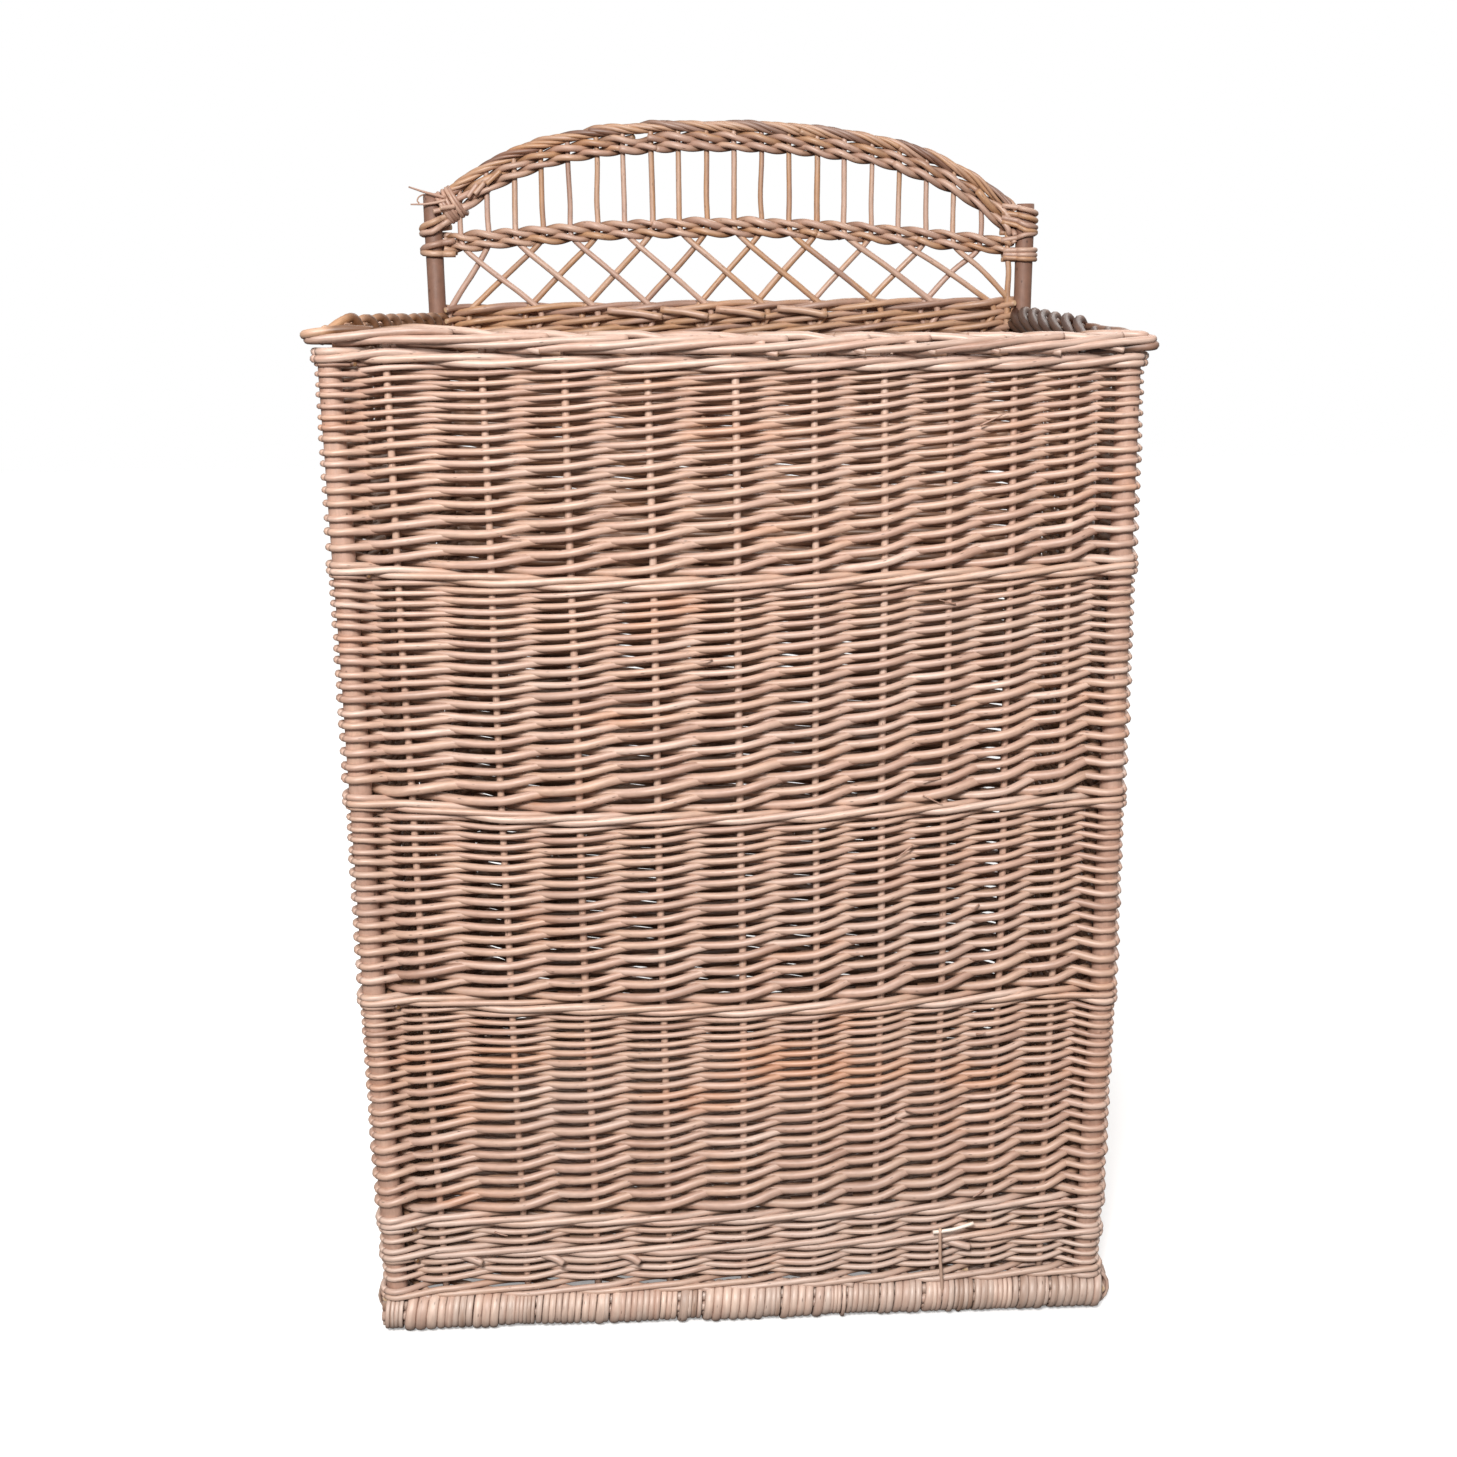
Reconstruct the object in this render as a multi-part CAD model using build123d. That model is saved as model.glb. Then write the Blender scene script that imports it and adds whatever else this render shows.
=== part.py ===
from build123d import *
import os

# A tall, open-topped, rectangular willow hamper with a fixed openwork gallery along the back of its rim.
# Units are millimetres and +Z is up. The front faces -Y. The origin is on the floor, under the middle
# of the whole object. Four stout corner posts and thin upright stakes carry woven walls: four tiers of
# weave, with thick waled bands between them, a rod border on three sides and a bound foot roll below.

# Overall size
OVERALL_WIDTH = 532
OVERALL_DEPTH = 426

# Rods
POST_DIAMETER = 15
STAKE_DIAMETER = 4.8
WEAVER_DIAMETER = 4.0
GALLERY_ROD_DIAMETER = 4.0
BASE_STICK_DIAMETER = 7.0
SLIP = 0.05  # radial gap between a rod and what is woven round it

# Walls, seen from above
WALL_THICKNESS = STAKE_DIAMETER + 2 * WEAVER_DIAMETER
WALE_THICKNESS = WALL_THICKNESS + 2.8
CORNER_RADIUS = POST_DIAMETER / 2 + 3.5  # outside of the weave round a post
BORDER_OUTER = 17  # from the wall's middle to the border's outer edge
BORDER_INNER = 8.5  # from the wall's middle to the border's inner edge
POST_X = OVERALL_WIDTH / 2 - BORDER_OUTER
FRONT_Y = BORDER_OUTER - OVERALL_DEPTH / 2
REAR_Y = OVERALL_DEPTH / 2 - CORNER_RADIUS
MIDDLE_Y = (FRONT_Y + REAR_Y) / 2

# Heights of the walls' bands, from the floor
FOOT_RADIUS = 11
FOOT_AXIS = 10.6  # lower than the radius, so that the roll rests on a narrow flat
FOOT_TOP = FOOT_AXIS + FOOT_RADIUS
FOOT_CORE_RADIUS = 5
WALL_BOTTOM = 17  # the wall straddles the foot roll
BASE_THICKNESS = 11
TIERS = {1: (556, 675), 2: (397, 539), 3: (255, 375), 4: (90, 237)}
WALES = {
    "top_wale": (675, 689),
    "wale_1": (539, 556),
    "wale_2": (375, 397),
    "wale_3": (237, 255),
    "upsett_wale": (WALL_BOTTOM, 90),
}
RIM_TOP = 704
WALL_TOP = 689

# Upright stakes, as distances along each wall from its middle. The front ones draw together to the right.
FRONT_STAKES = [-215, -156, -105, -53, 1, 51, 95, 137, 177, 215]
SIDE_STAKE_COUNT = 8
REAR_STAKE_COUNT = 10
REAR_STAKE_GAP = 48

# Base: thick sticks from front to back, woven together
BASE_STICK_COUNT = 9
BASE_STICK_GAP = 54

# Gallery
LEFT_POST_TOP = 804
RIGHT_POST_TOP = 790
GALLERY_THICKNESS = 13
LOWER_BANDS = [(690, 699), (706, 714)]
ROD_START = 692
UPRIGHT_COUNT = 21
FIRST_UPRIGHT_X = -226
UPRIGHT_GAP = 23.05
POST_CLEARANCE = 20  # from the end stakes to the rods that start beside the posts
MIDDLE_BAND_HEIGHT = 15
ARCH_HEIGHT = 18
ARCH_BORDER_HEIGHT = 8
GALLERY_LAYER = GALLERY_ROD_DIAMETER / 2 + 0.1  # the two layers of crossing rods, from their middle
CURVE_POINTS = 9
WRAP_THICKNESS = 3.8

LOW = (Align.CENTER, Align.CENTER, Align.MIN)
SIDES = ["front", "right", "rear", "left"]
POSTS = {
    "front_left": (-POST_X, FRONT_Y),
    "front_right": (POST_X, FRONT_Y),
    "rear_left": (-POST_X, REAR_Y),
    "rear_right": (POST_X, REAR_Y),
}


def upright(x, y, z0, z1, diameter):
    """A vertical rod."""
    return Pos(x, y, z0) * Cylinder(diameter / 2, z1 - z0, align=LOW)


def rod(start, end, diameter):
    """A straight rod between two points."""
    run = Vector(*end) - Vector(*start)
    return Plane(origin=start, z_dir=run) * Cylinder(diameter / 2, run.length, align=LOW)


def tube(x, y, z0, z1, outer, inner):
    """A vertical sleeve."""
    return upright(x, y, z0, z1, 2 * outer) - upright(x, y, z0, z1, 2 * inner)


def on_side(side, along, out=0.0):
    """The point on a wall's middle line, that far along it, and that far outside it."""
    return {
        "front": (along, FRONT_Y - out),
        "rear": (along, REAR_Y + out),
        "left": (-POST_X - out, MIDDLE_Y + along),
        "right": (POST_X + out, MIDDLE_Y + along),
    }[side]


def half_length(side):
    """From a wall's middle to its corner posts' axes."""
    return POST_X if side in ("front", "rear") else (REAR_Y - FRONT_Y) / 2


def bar(side, z0, z1, thickness):
    """A straight band of wall between the posts' axes."""
    x, y = on_side(side, 0)
    length = 2 * half_length(side)
    size = (length, thickness) if side in ("front", "rear") else (thickness, length)
    return Pos(x, y, z0) * Box(*size, z1 - z0, align=LOW)


def stake_places(side):
    """How far along its wall each stake stands."""
    if side == "front":
        return FRONT_STAKES
    if side == "rear":
        return [REAR_STAKE_GAP * (i - (REAR_STAKE_COUNT - 1) / 2) for i in range(REAR_STAKE_COUNT)]
    gap = 2 * half_length(side) / (SIDE_STAKE_COUNT + 1)
    return [gap * (i - (SIDE_STAKE_COUNT - 1) / 2) for i in range(SIDE_STAKE_COUNT)]


def stakes(side, extra=0.0):
    """A wall's thin uprights, each its own solid."""
    return [
        upright(*on_side(side, along), FOOT_TOP + 0.4, WALL_TOP, STAKE_DIAMETER + 2 * extra)
        for along in stake_places(side)
    ]


def corner_holes():
    """The room that the weave round the posts takes from the walls."""
    return [upright(*at, 0, WALL_TOP, 2 * (CORNER_RADIUS + SLIP)) for at in POSTS.values()]


def foot_roll(side, radius, trim):
    """A lying roll under one wall; the side rolls stop at the front and rear ones."""
    x, y = on_side(side, 0)
    if side in ("front", "rear"):
        lying = Rot(0, 90, 0) * Cylinder(radius, 2 * (POST_X + trim))
    else:
        lying = Rot(90, 0, 0) * Cylinder(radius, 2 * half_length(side))
    return Pos(x, y, FOOT_AXIS) * lying


def foot_rolls(radius):
    return [foot_roll(side, radius, FOOT_RADIUS) for side in SIDES]


def wall_band(side, z0, z1, thickness):
    """One woven band of a wall, with a hole for each stake and room for the corners and the foot."""
    band = bar(side, z0, z1, thickness) - stakes(side, SLIP) - corner_holes()
    if z0 < FOOT_TOP:
        band -= foot_rolls(FOOT_RADIUS + SLIP)
    return band


def foot():
    """The bound foot: a straight core under each wall, in a thick binding with a narrow flat below."""
    parts = {}
    below_floor = Pos(0, 0, -FOOT_RADIUS) * Box(OVERALL_WIDTH, OVERALL_DEPTH, FOOT_RADIUS, align=LOW)
    ends = [foot_roll(side, FOOT_RADIUS + SLIP, FOOT_RADIUS) for side in ("front", "rear")]
    for side in SIDES:
        core = foot_roll(side, FOOT_CORE_RADIUS, -FOOT_RADIUS)
        binding = foot_roll(side, FOOT_RADIUS, FOOT_RADIUS) - below_floor
        if side in ("left", "right"):
            core -= ends
            binding -= ends
        binding -= foot_roll(side, FOOT_CORE_RADIUS + SLIP, -FOOT_RADIUS)
        parts[f"foot_core_{side}"] = core
        parts[f"foot_binding_{side}"] = binding
    return parts


def base():
    """The woven floor of the hamper, on sticks that run from front to back."""
    inner_x = POST_X - WALE_THICKNESS / 2 - SLIP
    inner_y = (REAR_Y - FRONT_Y) / 2 - WALE_THICKNESS / 2 - SLIP
    plate = Pos(0, MIDDLE_Y, FOOT_TOP) * Box(2 * inner_x, 2 * inner_y, BASE_THICKNESS, align=LOW)
    plate -= corner_holes()
    places = [BASE_STICK_GAP * (i - (BASE_STICK_COUNT - 1) / 2) for i in range(BASE_STICK_COUNT)]
    middle = FOOT_TOP + BASE_THICKNESS / 2

    def sticks(radius):
        lying = Rot(90, 0, 0) * Cylinder(radius, 2 * inner_y)
        return [Pos(x, MIDDLE_Y, middle) * lying for x in places]

    return {
        "base_sticks": sticks(BASE_STICK_DIAMETER / 2),
        "base_weave": plate - sticks(BASE_STICK_DIAMETER / 2 + SLIP),
    }


def walls():
    """Stakes, the four tiers of each wall, the waled bands, and the weave round the corner posts."""
    parts = {f"{side}_stakes": stakes(side) for side in SIDES}
    for side in SIDES:
        for tier, (z0, z1) in TIERS.items():
            parts[f"{side}_weave_tier_{tier}"] = wall_band(side, z0, z1, WALL_THICKNESS)
    for name, (z0, z1) in WALES.items():
        parts[name] = [wall_band(side, z0, z1, WALE_THICKNESS) for side in SIDES]
    for name, at in POSTS.items():
        parts[f"corner_weave_{name}"] = tube(
            *at, FOOT_TOP, WALL_TOP, CORNER_RADIUS, POST_DIAMETER / 2 + SLIP
        )
    return parts


def post_top(name):
    return {"rear_left": LEFT_POST_TOP, "rear_right": RIGHT_POST_TOP}.get(name, WALL_TOP)


def posts(extra=0.0):
    return {
        f"corner_post_{name}": upright(*at, FOOT_TOP, post_top(name), POST_DIAMETER + 2 * extra)
        for name, at in POSTS.items()
    }


def border():
    """The rod border along the front and both sides; the side borders close round the rear posts."""
    thickness = BORDER_INNER + BORDER_OUTER
    height = RIM_TOP - WALL_TOP
    front_edge = FRONT_Y + BORDER_INNER
    front = Pos(0, front_edge - thickness / 2, WALL_TOP) * Box(OVERALL_WIDTH, thickness, height, align=LOW)
    parts = {"border_front": front}
    length = REAR_Y + BORDER_INNER - front_edge
    for side, sign in (("left", -1), ("right", 1)):
        x = sign * (OVERALL_WIDTH / 2 - thickness / 2)
        y = front_edge + length / 2
        edge = Pos(x, y, WALL_TOP) * Box(thickness, length, height, align=LOW)
        parts[f"border_{side}"] = edge - list(posts(SLIP).values())
    return parts


def middle_height(x):
    """Height of the gallery's middle band, which is bowed and lower at the right."""
    return 774.5 - 0.0185 * x - 0.00028 * x**2


def arch_height(x):
    """Height of the top of the gallery's arch, flat in the middle and steep at the ends."""
    return 859.7 - 0.03 * x - 4.367e-4 * x**2 - 1.062e-8 * x**4


def curved_band(height_at, above, below, thickness):
    """A band between the rear posts that follows a curve, from below to above it."""
    step = 2 * POST_X / (CURVE_POINTS - 1)
    places = [-POST_X + i * step for i in range(CURVE_POINTS)]
    upper = Spline([(x, height_at(x) + above) for x in places])
    lower = Spline([(x, height_at(x) + below) for x in places])
    outline = upper + Line(upper @ 1, lower @ 1) + lower + Line(upper @ 0, lower @ 0)
    face = Plane.XZ * make_face(outline)
    return Pos(0, REAR_Y, 0) * extrude(face, thickness / 2, both=True)


def gallery_rods(first, layer, extra=0.0):
    """Every other gallery rod: it leaves a rear stake, leans over to its place, and stands up to the arch."""
    places = stake_places("rear")
    feet = [places[0] - POST_CLEARANCE] + places + [places[-1] + POST_CLEARANCE]
    diameter = GALLERY_ROD_DIAMETER + 2 * extra
    y = REAR_Y + layer
    rods = []
    for i in range(first, UPRIGHT_COUNT, 2):
        lean = 4 if i % 2 == 0 else -1
        foot_x = feet[min(max((i + lean) // 2, 0), len(feet) - 1)]
        top_x = FIRST_UPRIGHT_X + UPRIGHT_GAP * i
        bend = (top_x, y, middle_height(top_x))
        leaning = rod((foot_x, y, ROD_START), bend, diameter)
        standing = rod(bend, (top_x, y, arch_height(top_x) - ARCH_BORDER_HEIGHT - 2), diameter)
        rods.append(leaning + standing + Pos(*bend) * Sphere(diameter / 2))
    return rods


def gallery():
    """The openwork back: twisted bands, crossing rods, and an arch with a plaited border."""
    front_rods = gallery_rods(0, -GALLERY_LAYER)
    rear_rods = gallery_rods(1, GALLERY_LAYER)
    rod_holes = gallery_rods(0, -GALLERY_LAYER, SLIP) + gallery_rods(1, GALLERY_LAYER, SLIP)
    post_holes = list(posts(SLIP).values())
    holes = rod_holes + post_holes
    side_borders = [part for name, part in border().items() if name != "border_front"]
    half = GALLERY_THICKNESS / 2
    lower = [bar("rear", z0, z1, GALLERY_THICKNESS) - holes - side_borders for z0, z1 in LOWER_BANDS]
    middle = curved_band(middle_height, MIDDLE_BAND_HEIGHT / 2, -MIDDLE_BAND_HEIGHT / 2, 2 * half)
    arch_bands = curved_band(arch_height, -ARCH_BORDER_HEIGHT, -ARCH_HEIGHT, 2 * half)
    arch_border = curved_band(arch_height, 0, -ARCH_BORDER_HEIGHT, 2 * half + 2)
    wrap_radius = POST_DIAMETER / 2 + WRAP_THICKNESS
    wraps = {}
    for name, sign in (("left", -1), ("right", 1)):
        x = sign * POST_X
        band_z = middle_height(x)
        top = post_top(f"rear_{name}")
        wraps[f"band_{name}"] = (x, band_z - 9, band_z + 9)
        wraps[f"lashing_{name}"] = (x, top - 21, top - 3)
    wrap_room = [upright(x, REAR_Y, z0, z1, 2 * (wrap_radius + SLIP)) for x, z0, z1 in wraps.values()]
    collars = {
        name: tube(x, REAR_Y, z0, z1, wrap_radius, POST_DIAMETER / 2 + SLIP)
        for name, (x, z0, z1) in wraps.items()
    }
    return {
        "gallery_rods_leaning_left": front_rods,
        "gallery_rods_leaning_right": rear_rods,
        "gallery_lower_bands": lower,
        "gallery_middle_band": middle - holes - wrap_room,
        "gallery_arch_bands": arch_bands - holes - wrap_room,
        "gallery_arch_border": arch_border - post_holes - wrap_room,
        "gallery_post_wraps": [collars["band_left"], collars["band_right"]],
        "gallery_lashing_left": collars["lashing_left"],
        "gallery_lashing_right": collars["lashing_right"],
    }


def write(parts):
    os.makedirs("parts", exist_ok=True)
    for name, part in parts.items():
        pieces = part if isinstance(part, list) else [part]
        solids = [solid for piece in pieces for solid in piece.solids()]
        shape = solids[0] if len(solids) == 1 else Compound(children=solids)
        shape.label = name
        export_step(shape, f"parts/{name}.step")


write({**foot(), **base(), **walls(), **posts(), **border(), **gallery()})
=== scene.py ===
import math

import bpy
import numpy as np
from mathutils import Matrix, Vector


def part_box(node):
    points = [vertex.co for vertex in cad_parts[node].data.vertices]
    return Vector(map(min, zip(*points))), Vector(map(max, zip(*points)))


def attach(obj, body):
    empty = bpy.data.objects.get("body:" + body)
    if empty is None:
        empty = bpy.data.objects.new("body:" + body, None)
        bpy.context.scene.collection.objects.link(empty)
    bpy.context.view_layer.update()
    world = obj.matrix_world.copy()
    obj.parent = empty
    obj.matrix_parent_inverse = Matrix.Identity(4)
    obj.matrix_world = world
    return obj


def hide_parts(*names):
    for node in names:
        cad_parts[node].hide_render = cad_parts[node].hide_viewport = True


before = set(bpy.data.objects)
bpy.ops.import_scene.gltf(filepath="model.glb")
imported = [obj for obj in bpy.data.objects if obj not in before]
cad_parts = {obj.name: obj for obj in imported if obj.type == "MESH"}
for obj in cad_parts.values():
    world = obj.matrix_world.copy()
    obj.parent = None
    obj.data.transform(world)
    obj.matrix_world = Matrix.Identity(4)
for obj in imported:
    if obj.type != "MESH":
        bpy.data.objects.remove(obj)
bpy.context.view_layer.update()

# A tall willow hamper. Everything woven is made here as real rods, in metres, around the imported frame:
# the posts, stakes and bands of the frame give the places, and each rod is a round tapering tube.

rng = np.random.default_rng(7)

# ---------------- sizes from the frame


def centre(node):
    low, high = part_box(node)
    return (low + high) / 2


def top(node):
    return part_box(node)[1].z


def bottom(node):
    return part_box(node)[0].z


def stake_places(node, axis):
    """Where a group of upright rods stands along an axis: the middles of its clusters of vertices."""
    coordinates = np.sort([v.co[axis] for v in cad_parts[node].data.vertices])
    breaks = np.flatnonzero(np.diff(coordinates) > STAKE_RADIUS * 2) + 1
    return [float(cluster.min() + cluster.max()) / 2 for cluster in np.split(coordinates, breaks)]


STAKE_RADIUS = 0.0024
POST_RADIUS = (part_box("corner_post_front_left")[1].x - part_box("corner_post_front_left")[0].x) / 2
POST_X = centre("corner_post_front_right").x
FRONT_Y = centre("corner_post_front_right").y
REAR_Y = centre("corner_post_rear_right").y
FOOT_TOP = top("foot_binding_front") + 0.003  # the wound foot stands a little above the plain one
FOOT_AXIS, FOOT_OUT = 0.0140, 0.0045  # its axis: how high, and how far outside the wall's middle line
FOOT_WRAP = 0.0120  # from that axis to the middle of the winding
WALL_TOP = top("top_wale")
RIM_TOP = top("border_front")
GALLERY_DEPTH = 0.008  # of its rods, front to back
AT_REAR = np.array([0, REAR_Y, 0])  # moves a place to the gallery's middle
MM = 0.001

# ---------------- the four walls

# The hamper isn't quite true: its front is turned a little and spreads in the middle, and its rows sag.
FRONT_TURN = 0.0087  # how far the front left post stands forward, and the front right one back
SIDE_SAG = 0.004  # of the rows in the other walls
SPREAD_HEIGHTS, SPREAD = (0, 0.1, 0.25, 0.685, 0.70), (0, 0.005, 0.013, 0.013, 0.004)
ROW_HEIGHTS = (0.022, 0.09, 0.246, 0.386, 0.5475, 0.70)
ROW_PLACES = (0, 0.1, 0.25, 0.5, 0.75, 0.92, 1)
ROWS_OFF_LEVEL = (  # how many millimetres the front's rows lie above level, at each height and place
    (-1, -2, -2.5, -2.5, -1.5, -1, -1),
    (1, 1, -1, -2.6, -0.2, 2, 1.5),
    (10.3, 7.3, 2.8, -1.5, 0.2, 2.2, -2),
    (13, 6, -2, -3, -0.7, 1, -0.5),
    (6.5, 1.5, -5, -7, -5.5, -3.5, -3),
    (3.5, 2.5, -2, -4.5, -6, -6.5, -6),
)


def spread(y, z):
    """How much wider than true the hamper is, most at its front."""
    return 1 + np.clip((REAR_Y - y) / (REAR_Y - FRONT_Y), 0, 1) * np.interp(z, SPREAD_HEIGHTS, SPREAD)


def off_level(part, z):
    """How far the front's rows lie above level, a part of the way along it and at a height."""
    shares = (np.interp(z, ROW_HEIGHTS, share) for share in np.eye(len(ROW_HEIGHTS)))
    rows = (np.interp(part, FRONT_ROWS[:, 0], row) for row in FRONT_ROWS[:, 1:].T)
    return sum(share * row for share, row in zip(shares, rows))


class Wall:
    """One wall from post to post. Places on it are (u, out, z): along it, outside its middle line, up."""

    def __init__(self, name, start, end, stakes, bulge):
        self.name = name
        self.start = np.array(start)
        run = np.array(end) - self.start
        self.length = float(np.hypot(*run))
        self.along = run / self.length
        self.normal = np.array([self.along[1], -self.along[0]])
        inner = sorted(float((np.array(p) - self.start) @ self.along) for p in stakes)
        self.places = [0.0] + inner + [self.length]
        self.bulge = bulge

    def deform(self, u, out, z):
        """The filled wall bows outwards, sags a little between its posts, and meets the front's rows."""
        part = np.clip(u / self.length, 0, 1)
        across, up = np.sin(np.pi * part), np.sin(np.pi * np.clip(z / RIM_TOP, 0, 1))
        ends = {"front": (part, 1), "right": (1, 1 - part), "rear": (0, 0), "left": (0, part)}
        place, share = ends[self.name]
        sag = 0 if self.name == "front" else SIDE_SAG * across * up
        return out + self.bulge * across * up, z + share * off_level(place, z) - sag

    def flat(self, u, out, z):
        """A place on the wall if it neither bowed nor sagged."""
        u, out, z = np.broadcast_arrays(np.asarray(u, float), out, z)
        x, y = np.moveaxis(self.start + u[..., None] * self.along + out[..., None] * self.normal, -1, 0)
        return np.stack([x * spread(y, z), y, z], axis=-1)

    def point(self, u, out, z):
        u, out, z = np.broadcast_arrays(np.asarray(u, float), out, z)
        return self.flat(u, *self.deform(u, out, z))

    def path(self, places, steps):
        """A smooth path through places on the wall."""
        return smooth_path([self.point(*place) for place in places], steps)

    def depth(self, points):
        """How near points are to the wall's outer face, for painted shade: 0 on its inside, 1 from its middle
        line out.
        """
        x, y, z = points.T
        flat = np.stack([x / spread(y, z), y], -1) - self.start
        bulge, _ = self.deform(flat @ self.along, 0.0, z)
        return np.clip((flat @ self.normal - bulge + 0.0055) / 0.0075, 0, 1)


def make_walls():
    """The four walls in order, counted from the front left post, as seen from above against the clock."""
    front_left, front_right = (-POST_X, FRONT_Y - FRONT_TURN), (POST_X, FRONT_Y + FRONT_TURN)
    rear_left, rear_right = (-POST_X, REAR_Y), (POST_X, REAR_Y)
    front = [(x, FRONT_Y) for x in stake_places("front_stakes", 0)]
    right = [(POST_X, y) for y in stake_places("right_stakes", 1)]
    rear = [(x, REAR_Y) for x in stake_places("rear_stakes", 0)]
    left = [(-POST_X, y) for y in stake_places("left_stakes", 1)]
    return [
        Wall("front", front_left, front_right, front, 0.011),
        Wall("right", front_right, rear_right, right, 0.008),
        Wall("rear", rear_right, rear_left, rear, 0.006),
        Wall("left", rear_left, front_left, left, 0.008),
    ]


WALLS = make_walls()
GAPS = [(wall, i) for wall in WALLS for i in range(len(wall.places) - 1)]
N = len(GAPS)  # gaps, and uprights, once round the hamper
FIRST = {wall.name: GAPS.index((wall, 0)) for wall in WALLS}  # the number of each wall's first upright


def is_post(upright):
    return GAPS[upright % N][1] == 0


# ---------------- tubes


class Rods:
    """Gathers round tapering rods, and makes them into one mesh.

    Painted shade darkens them towards the inside of a wall, or towards face, the y of the gallery's back."""

    def __init__(self, sides=8, wall=None, face=None):
        self.sides, self.wall, self.face = sides, wall, face
        self.points, self.quads, self.tris, self.grain, self.kind, self.rows = [], [], [], [], [], []
        self.count = 0

    def add(
        self, path, radius, tint=None, along=None, cut=(True, True), flatten=1.0, across=None, bevel=0.72
    ):
        """A rod along a path of points. A true cut is a clean pale end, a false one is hidden in the weave.

        tint, from 0 to 1, picks its tone. along is how far up the grain it starts. flatten squeezes it
        across the direction given by across, which lies along its broad side.
        """
        path = np.asarray(path, float)
        n, m = len(path), self.sides
        radius = np.broadcast_to(np.asarray(radius, float), (n,))
        tangent = np.gradient(path, axis=0)
        tangent /= np.linalg.norm(tangent, axis=1, keepdims=True) + 1e-12
        if across is None:
            side, turn = parallel_frame(tangent), rng.uniform(0, 2 * np.pi)
        else:
            side = np.broadcast_to(np.asarray(across, float), (n, 3))
            side = side - tangent * (side * tangent).sum(1, keepdims=True)
            side, turn = side / np.linalg.norm(side, axis=1, keepdims=True), 0.0
        up = np.cross(side, tangent)
        angles = turn + np.linspace(0, 2 * np.pi, m, endpoint=False)
        circle = np.stack([np.cos(angles), np.sin(angles)], -1)
        ring = circle[None, :, :1] * side[:, None] + flatten * circle[None, :, 1:] * up[:, None]
        body = path[:, None] + radius[:, None, None] * ring
        start = path[0] + bevel * radius[0] * ring[0]
        finish = path[-1] + bevel * radius[-1] * ring[-1]
        points = np.concatenate([body.reshape(-1, 3), start, finish, path[:1], path[-1:]])
        i, j = np.meshgrid(np.arange(n - 1), np.arange(m), indexing="ij")
        k = (j + 1) % m
        a, b = np.arange(m), (np.arange(m) + 1) % m
        last, s0, f0 = (n - 1) * m, n * m, (n + 1) * m
        tube = np.stack([i * m + j, i * m + k, (i + 1) * m + k, (i + 1) * m + j], -1).reshape(-1, 4)
        bevels = [(b, a, s0 + a, s0 + b), (last + a, last + b, f0 + b, f0 + a)]
        caps = [(s0 + b, s0 + a, np.full(m, f0 + m)), (f0 + a, f0 + b, np.full(m, f0 + m + 1))]
        quads = np.concatenate([tube] + [np.stack(bevel, -1) for bevel in bevels])
        tris = np.concatenate([np.stack(cap, -1) for cap in caps])
        steps = np.concatenate([[0], np.cumsum(np.linalg.norm(np.diff(path, axis=0), axis=1))])
        steps += rng.uniform(0, 5) if along is None else along
        grain = np.zeros((len(points), 3))
        ends = [np.full(m, steps[0]), np.full(m, steps[-1]), steps[[0, -1]]]
        grain[:, 0] = np.concatenate([np.repeat(steps, m)] + ends)
        grain[:-2, 1:] = np.tile(circle, (n + 2, 1))
        kind = np.zeros((len(points), 3))
        kind[:, 0] = rng.uniform() if tint is None else tint
        kind[:, 1] = rng.uniform()
        if cut[0]:
            kind[s0:f0, 2] = kind[-2, 2] = 1
        if cut[1]:
            kind[f0 : f0 + m, 2] = kind[-1, 2] = 1
        stores = (self.points, self.quads, self.tris, self.grain, self.kind, self.rows)
        parts = (points, quads + self.count, tris + self.count, grain, kind, (n, m))
        for store, part in zip(stores, parts):
            store.append(part)
        self.count += len(points)

    def uv(self):
        """Each rod's stretches lie in equal cells of a grid, so that a baked texture holds all of it."""
        stretch = 8
        cells = sum((n - 2) // stretch + 2 for n, _ in self.rows)
        columns = max(1, int(math.sqrt(cells / 4)))
        lines = -(-cells // columns)
        margin = 0.06

        def place(number, x, y):
            x = (number % columns + margin / 2 + x * (1 - margin)) / columns
            y = (number // columns + margin + y * (1 - 2 * margin)) / lines
            return np.stack([x, y], -1)

        quad_uv, tri_uv, cell = [], [], 0
        for n, m in self.rows:
            i, j = (v.ravel() for v in np.meshgrid(np.arange(n - 1), np.arange(m), indexing="ij"))
            block = cell + i // stretch
            x0, x1 = (i % stretch) / stretch, (i % stretch + 1) / stretch
            y0, y1 = j / m, (j + 1) / m
            around = ((x0, y0), (x0, y1), (x1, y1), (x1, y0))
            quad_uv.append(np.stack([place(block, x, y) for x, y in around], 1))
            cell += (n - 2) // stretch + 1
            a, b = np.arange(m) / m, (np.arange(m) + 1) / m
            for x, (first, second) in ((0.0, (b, a)), (0.5, (a, b))):
                outer, inner, hub = (np.full(m, x + step) for step in (0.0, 0.2, 0.45))
                ring = [place(cell, outer, first), place(cell, outer, second)]
                quad_uv.append(np.stack(ring + [place(cell, inner, second), place(cell, inner, first)], 1))
                fan = [place(cell, inner, first), place(cell, inner, second), place(cell, hub, (a + b) / 2)]
                tri_uv.append(np.stack(fan, 1))
            cell += 1
        return np.concatenate([np.concatenate(part).reshape(-1, 2) for part in (quad_uv, tri_uv)])

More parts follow.
